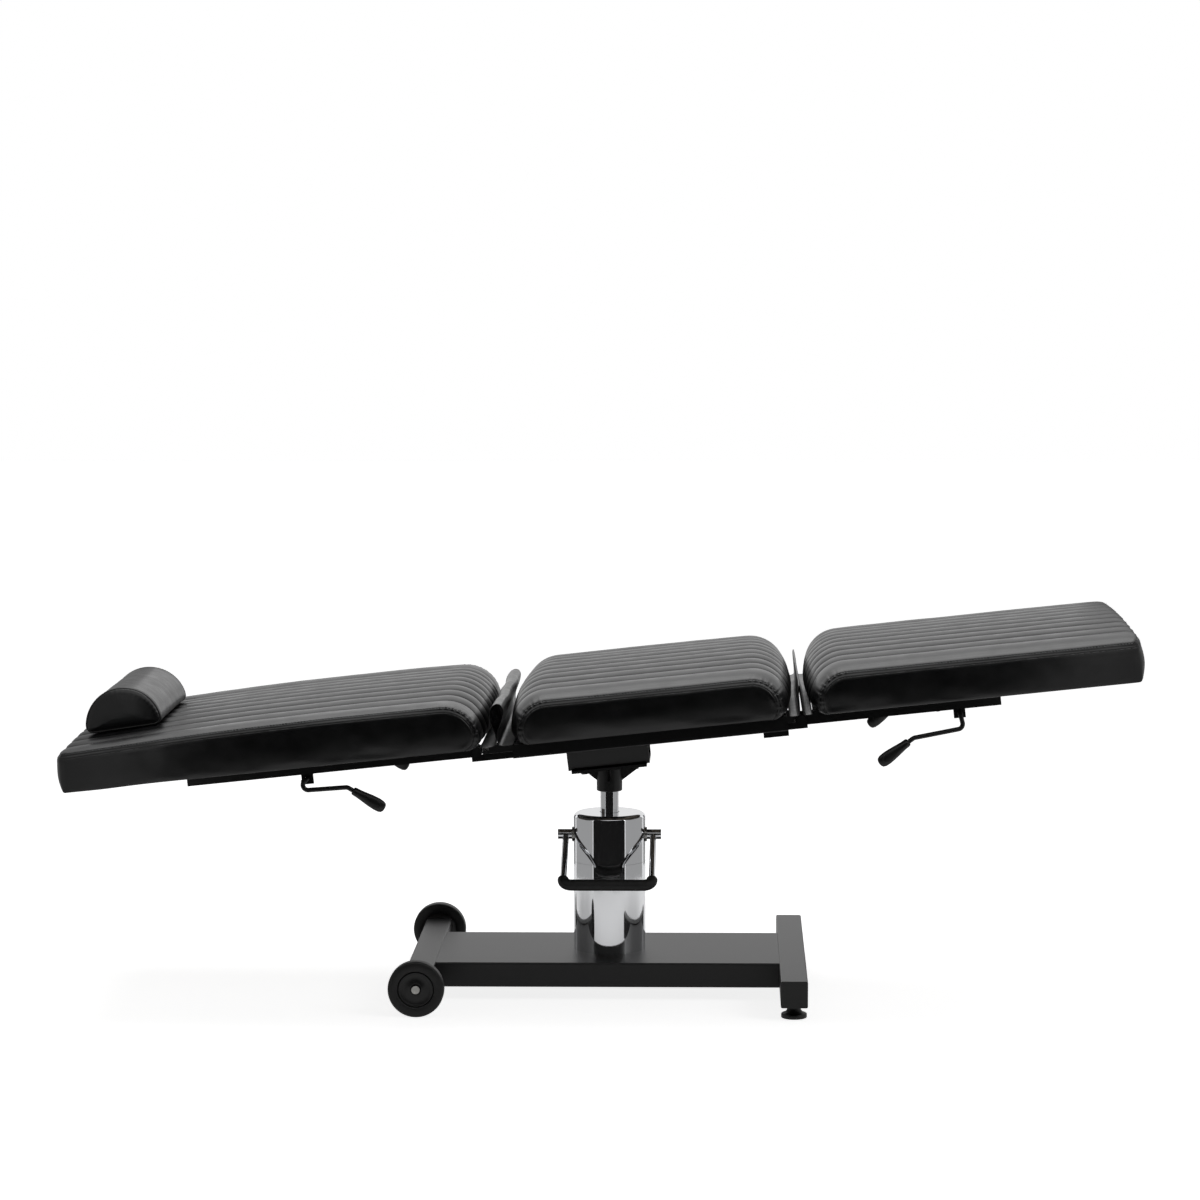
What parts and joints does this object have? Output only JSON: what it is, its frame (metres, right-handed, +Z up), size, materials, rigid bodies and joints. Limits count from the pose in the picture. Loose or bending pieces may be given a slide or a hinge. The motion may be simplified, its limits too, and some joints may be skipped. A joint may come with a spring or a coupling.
{
  "type": "tattoo chair",
  "caption": "Long padded tattoo chair on a hydraulic column, with a raising backrest, a dropping legrest, a foot pump pedal and a wheeled base.",
  "frame": {"origin": "on the floor, below the middle of the whole chair's box", "axes": "+X from the head end to the foot end, +Y to the side away from the pump pedal, +Z up"},
  "size_m": [1.8405, 0.604, 0.6666],
  "materials": {
    "black_powder_coat": "matte black powder coat with a fine texture",
    "chrome_plate": "polished chrome plating",
    "bare_steel": "turned and ground steel",
    "blackened_fasteners": "blackened steel",
    "black_leatherette": "satin artificial leather with a fine pebbled grain",
    "plywood": "unfinished birch plywood",
    "black_rubber": "matte moulded rubber",
    "wheel_tyre": "hard smooth black tread",
    "black_moulding": "finely textured moulded plastic"
  },
  "bodies": {
    "base": {"base_beam": "black_powder_coat", "wheel_crossbar": "black_powder_coat", "foot_crossbar": "black_powder_coat", "foot_bar_end_caps": "black_moulding", "wheel_bar_end_caps": "black_moulding", "wheel_axles": "bare_steel", "lower_column_cover": "chrome_plate", "upper_column_cover": "chrome_plate", "column_flange": "bare_steel", "flange_bolts": "blackened_fasteners", "pump_cylinder": "bare_steel", "pump_gland": "bare_steel", "pedal_bushes": "bare_steel"},
    "pedal": {"pedal_shaft": "chrome_plate", "pedal_loop": "chrome_plate", "pedal_sleeve": "black_rubber"},
    "near_wheel": {"near_wheel_tyre": "wheel_tyre", "near_wheel_hub": "black_moulding"},
    "far_wheel": {"far_wheel_tyre": "wheel_tyre", "far_wheel_hub": "black_moulding"},
    "near_foot": {"near_levelling_foot": "black_moulding"},
    "far_foot": {"far_levelling_foot": "black_moulding"},
    "lift": {"piston_rod": "chrome_plate", "pump_piston": "bare_steel"},
    "seat": {"pump_head": "black_powder_coat", "saddle_channel": "black_powder_coat", "saddle_bolts": "blackened_fasteners", "seat_rails": "black_powder_coat", "seat_cross_tubes": "black_powder_coat", "back_hinge_arms": "black_powder_coat", "leg_hinge_arms": "black_powder_coat", "back_hinge_bolts": "blackened_fasteners", "leg_hinge_bolts": "blackened_fasteners", "seat_strut_lugs": "black_powder_coat", "seat_strut_pins": "bare_steel", "seat_board": "plywood", "seat_cushion": "black_leatherette", "back_gap_flap": "black_leatherette", "leg_gap_flap": "black_leatherette"},
    "back": {"back_rails": "black_powder_coat", "back_cross_bars": "black_powder_coat", "back_strut_bracket": "black_powder_coat", "back_board": "plywood", "back_cushion": "black_leatherette", "head_pillow": "black_leatherette", "back_lever_lugs": "black_powder_coat"},
    "leg": {"leg_rails": "black_powder_coat", "leg_cross_bars": "black_powder_coat", "leg_strut_bracket": "black_powder_coat", "leg_board": "plywood", "leg_cushion": "black_leatherette", "leg_lever_lugs": "black_powder_coat"},
    "back_lever": {"back_release_rod": "black_powder_coat", "back_release_grips": "black_moulding"},
    "leg_lever": {"leg_release_rod": "black_powder_coat", "leg_release_grips": "black_moulding"},
    "back_strut_tube": {"back_strut_cylinder": "black_powder_coat"},
    "back_strut_ram": {"back_strut_rod": "chrome_plate"},
    "leg_strut_tube": {"leg_strut_cylinder": "black_powder_coat"},
    "leg_strut_ram": {"leg_strut_rod": "chrome_plate"}
  },
  "joints": [
    {"name": "lift", "type": "slide", "parent": "base", "child": "lift", "axis": [0, 0, 1], "range_m": [0, 0.13]},
    {"name": "swivel", "type": "hinge", "parent": "lift", "child": "seat", "pos_m": [0.0093, 0, 0.35], "axis": [0, 0, 1], "continuous": true},
    {"name": "backrest", "type": "hinge", "parent": "seat", "child": "back", "pos_m": [-0.20944, 0, 0.45065], "axis": [0, 1, 0], "range_deg": [0, 50], "deforming": ["back_gap_flap"]},
    {"name": "legrest", "type": "hinge", "parent": "seat", "child": "leg", "pos_m": [0.34262, 0, 0.50767], "axis": [0, 1, 0], "range_deg": [0, 60]},
    {"name": "back_release", "type": "hinge", "parent": "back", "child": "back_lever", "pos_m": [-0.49896, 0, 0.40213], "axis": [0, 1, 0], "range_deg": [-12, 0], "stiffness_Nm_per_rad": 0.6, "springref_deg": 28.65},
    {"name": "leg_release", "type": "hinge", "parent": "leg", "child": "leg_lever", "pos_m": [0.61043, 0, 0.51873], "axis": [0, 1, 0], "range_deg": [0, 12], "stiffness_Nm_per_rad": 0.6, "springref_deg": -28.65},
    {"name": "back_strut_turn", "type": "hinge", "parent": "seat", "child": "back_strut_tube", "pos_m": [-0.20652, 0, 0.42281], "axis": [0, 1, 0], "range_deg": [0, 48.2]},
    {"name": "back_strut_stroke", "type": "slide", "parent": "back_strut_tube", "child": "back_strut_ram", "axis": [-0.9954, 0, -0.0962], "range_m": [0, 0.0227]},
    {"name": "leg_strut_turn", "type": "hinge", "parent": "seat", "child": "leg_strut_tube", "pos_m": [0.3379, 0, 0.47601], "axis": [0, 1, 0], "range_deg": [0, 61.6]},
    {"name": "leg_strut_stroke", "type": "slide", "parent": "leg_strut_tube", "child": "leg_strut_ram", "axis": [0.9945, 0, 0.1045], "range_m": [-0.0313, 0]},
    {"name": "pedal_press", "type": "hinge", "parent": "base", "child": "pedal", "pos_m": [0.0093, 0, 0.27], "axis": [1, 0, 0], "range_deg": [0, 18], "stiffness_Nm_per_rad": 6, "springref_deg": -34.38},
    {"name": "near_wheel_spin", "type": "hinge", "parent": "base", "child": "near_wheel", "pos_m": [-0.3122, -0.2695, 0.048], "axis": [0, 1, 0], "continuous": true},
    {"name": "far_wheel_spin", "type": "hinge", "parent": "base", "child": "far_wheel", "pos_m": [-0.3122, 0.2695, 0.048], "axis": [0, 1, 0], "continuous": true},
    {"name": "near_foot_turn", "type": "hinge", "parent": "base", "child": "near_foot", "pos_m": [0.3308, -0.266, 0.02], "axis": [0, 0, 1], "continuous": true},
    {"name": "far_foot_turn", "type": "hinge", "parent": "base", "child": "far_foot", "pos_m": [0.3308, 0.266, 0.02], "axis": [0, 0, 1], "continuous": true}
  ],
  "couplings": [
    {"joint": "back_strut_turn", "follows": "backrest", "ratio": 0.96102},
    {"joint": "back_strut_stroke", "follows": "backrest", "m_per_rad": 0.02588},
    {"joint": "leg_strut_turn", "follows": "legrest", "ratio": 1.0242},
    {"joint": "leg_strut_stroke", "follows": "legrest", "m_per_rad": -0.02977}
  ]
}
